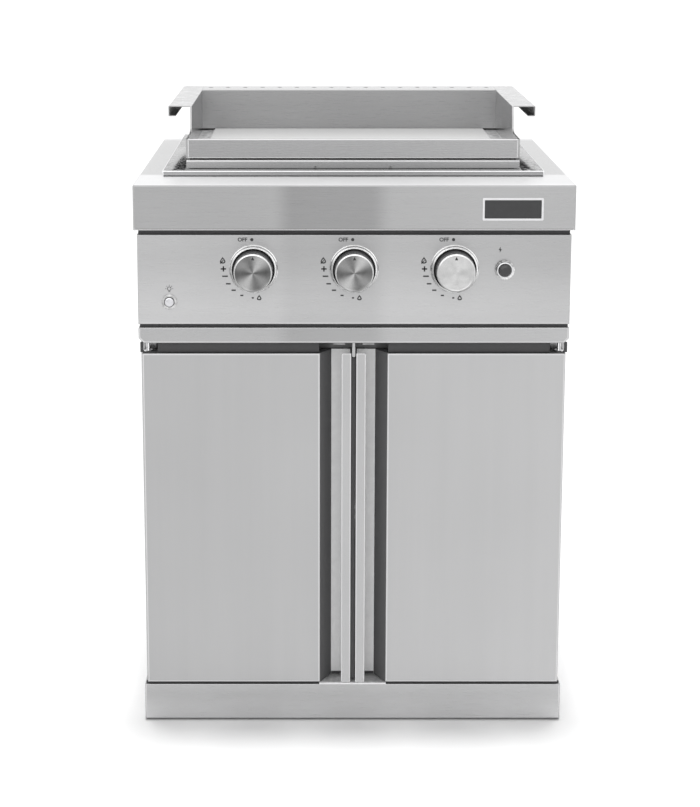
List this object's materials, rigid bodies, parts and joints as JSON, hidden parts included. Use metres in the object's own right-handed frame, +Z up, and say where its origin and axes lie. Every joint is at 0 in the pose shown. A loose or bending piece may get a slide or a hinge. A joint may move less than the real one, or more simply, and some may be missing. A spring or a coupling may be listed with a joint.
{
  "type": "outdoor gas griddle station",
  "caption": "Stainless steel floor cabinet with double doors, a panel of gas knobs and a guarded griddle plate set in its counter.",
  "frame": {"origin": "on the floor under the middle of the whole object's box", "axes": "+X to the right seen from the front, +Y to the back, +Z up; the doors and knobs face -Y"},
  "size_m": [0.7, 0.685, 1],
  "materials": {
    "stainless_sheet": "brushed stainless sheet",
    "stainless_counter": "brushed stainless, bright",
    "stainless_door": "brushed stainless sheet",
    "stainless_guard": "brushed stainless sheet",
    "griddle_steel": "ground stainless cooking plate",
    "burner_steel": "drawn stainless tube",
    "brass": "machined brass",
    "zinc_steel": "zinc plated steel",
    "chrome": "polished chrome",
    "knob_metal": "turned face, polished rim",
    "badge_rim": "satin chrome",
    "badge_black": "satin black, left bare",
    "black_plastic": "gloss black",
    "dark_plastic": "matt black",
    "foot_rubber": "matt rubber over a steel stem",
    "electrode_ceramic": "glazed white"
  },
  "bodies": {
    "cabinet": {"side_panel_left": "stainless_sheet", "side_panel_right": "stainless_sheet", "back_panel": "stainless_sheet", "bottom_shelf": "stainless_sheet", "plinth": "stainless_sheet", "front_rail": "stainless_sheet", "control_panel": "stainless_sheet", "catch_tongue": "stainless_sheet", "griddle_tub": "stainless_sheet", "deck_front": "stainless_counter", "deck_left": "stainless_counter", "deck_right": "stainless_counter", "deck_back": "stainless_counter", "burner_left": "burner_steel", "burner_centre": "burner_steel", "burner_right": "burner_steel", "gas_manifold": "burner_steel", "gas_valve_left": "brass", "gas_valve_centre": "brass", "gas_valve_right": "brass", "gas_inlet": "brass", "hinge_pins": "zinc_steel", "back_screws": "zinc_steel", "knob_bezel_left": "chrome", "knob_bezel_centre": "chrome", "knob_bezel_right": "chrome", "ignitor_housing": "chrome", "light_switch_housing": "chrome", "badge_frame": "badge_rim", "badge_plate": "badge_black", "door_magnets": "dark_plastic", "levelling_feet": "foot_rubber", "spark_electrodes": "electrode_ceramic"},
    "left_door": {"door_skin_left": "stainless_door", "door_handle_left": "stainless_door", "door_liner_left": "stainless_door", "hinge_bushes_left": "brass", "strike_plate_left": "zinc_steel"},
    "right_door": {"door_skin_right": "stainless_door", "door_handle_right": "stainless_door", "door_liner_right": "stainless_door", "hinge_bushes_right": "brass", "strike_plate_right": "zinc_steel"},
    "griddle_top": {"griddle_plate": "griddle_steel", "guard_front": "stainless_guard", "guard_left": "stainless_guard", "guard_right": "stainless_guard", "guard_back": "stainless_guard"},
    "grease_drawer": {"grease_tray": "stainless_guard"},
    "ignitor_button_body": {"ignitor_button": "black_plastic"},
    "light_button_body": {"light_switch_button": "chrome"},
    "knob_collar_left": {"push_collar_left": "brass"},
    "knob_turn_left": {"knob_left": "knob_metal", "valve_stem_left": "brass"},
    "knob_collar_centre": {"push_collar_centre": "brass"},
    "knob_turn_centre": {"knob_centre": "knob_metal", "valve_stem_centre": "brass"},
    "knob_collar_right": {"push_collar_right": "brass"},
    "knob_turn_right": {"knob_right": "knob_metal", "valve_stem_right": "brass"}
  },
  "joints": [
    {"name": "left_door_hinge", "type": "hinge", "parent": "cabinet", "child": "left_door", "pos_m": [-0.331, -0.2845, 0.347], "axis": [0, 0, -1], "range_deg": [0, 105]},
    {"name": "right_door_hinge", "type": "hinge", "parent": "cabinet", "child": "right_door", "pos_m": [0.331, -0.2845, 0.347], "axis": [0, 0, 1], "range_deg": [0, 105]},
    {"name": "griddle_lift", "type": "slide", "parent": "cabinet", "child": "griddle_top", "axis": [0, 0, 1], "range_m": [0, 0.12]},
    {"name": "grease_drawer_slide", "type": "slide", "parent": "cabinet", "child": "grease_drawer", "axis": [0, -1, 0], "range_m": [0, 0.09]},
    {"name": "ignitor_press", "type": "slide", "parent": "cabinet", "child": "ignitor_button_body", "axis": [0, 1, 0], "range_m": [0, 0.004], "stiffness_N_per_m": 800},
    {"name": "light_switch_press", "type": "slide", "parent": "cabinet", "child": "light_button_body", "axis": [0, 1, 0], "range_m": [0, 0.002], "stiffness_N_per_m": 600},
    {"name": "knob_push_left", "type": "slide", "parent": "cabinet", "child": "knob_collar_left", "axis": [0, 1, 0], "range_m": [0, 0.003], "stiffness_N_per_m": 2500},
    {"name": "knob_rotate_left", "type": "hinge", "parent": "knob_collar_left", "child": "knob_turn_left", "pos_m": [-0.16, -0.3025, 0.765], "axis": [0, -1, 0], "range_deg": [0, 195]},
    {"name": "knob_push_centre", "type": "slide", "parent": "cabinet", "child": "knob_collar_centre", "axis": [0, 1, 0], "range_m": [0, 0.003], "stiffness_N_per_m": 2500},
    {"name": "knob_rotate_centre", "type": "hinge", "parent": "knob_collar_centre", "child": "knob_turn_centre", "pos_m": [0, -0.3025, 0.765], "axis": [0, -1, 0], "range_deg": [0, 195]},
    {"name": "knob_push_right", "type": "slide", "parent": "cabinet", "child": "knob_collar_right", "axis": [0, 1, 0], "range_m": [0, 0.003], "stiffness_N_per_m": 2500},
    {"name": "knob_rotate_right", "type": "hinge", "parent": "knob_collar_right", "child": "knob_turn_right", "pos_m": [0.16, -0.3025, 0.765], "axis": [0, -1, 0], "range_deg": [0, 195]}
  ]
}
